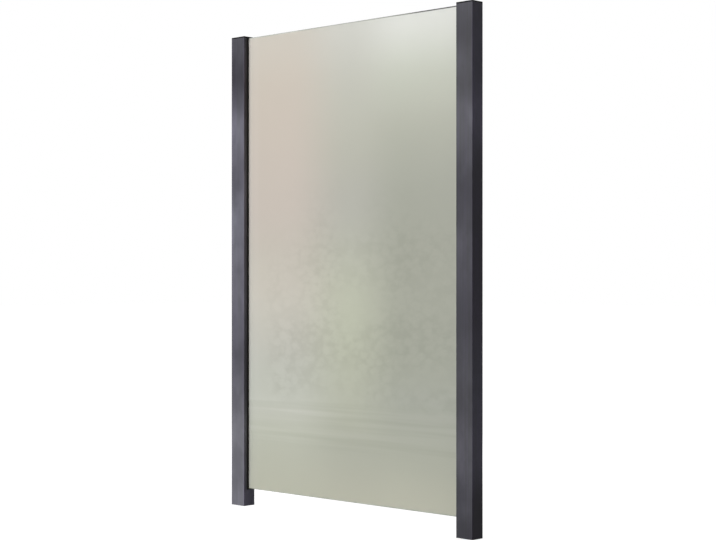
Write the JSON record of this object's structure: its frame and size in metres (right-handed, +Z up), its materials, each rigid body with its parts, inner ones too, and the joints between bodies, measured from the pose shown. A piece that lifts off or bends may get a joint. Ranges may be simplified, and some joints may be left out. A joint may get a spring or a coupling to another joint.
{
  "type": "glass fence bay",
  "caption": "Tall privacy fence bay: a frosted glass pane gasketed into channels of dark square-edged hollow posts with flat caps.",
  "frame": {"origin": "centre of the left post's foot, at ground level", "axes": "+X along the fence from the left post to the right post, +Y to the back, +Z up the posts"},
  "size_m": [1.255, 0.056, 1.875],
  "materials": {
    "post_coat": "satin powder coat, anthracite",
    "cap_coat": "satin powder coat, anthracite",
    "filler_coat": "satin powder coat, anthracite",
    "frosted_glass": "satin etched, polished edges",
    "gasket_rubber": "matt black",
    "block_rubber": "matt black"
  },
  "bodies": {
    "root": {"left_post": "post_coat", "right_post": "post_coat", "left_post_cap": "cap_coat", "right_post_cap": "cap_coat", "glass_pane": "frosted_glass", "left_front_gasket": "gasket_rubber", "left_back_gasket": "gasket_rubber", "right_front_gasket": "gasket_rubber", "right_back_gasket": "gasket_rubber", "left_setting_block": "block_rubber", "right_setting_block": "block_rubber", "left_channel_filler": "filler_coat", "right_channel_filler": "filler_coat"}
  },
  "joints": []
}
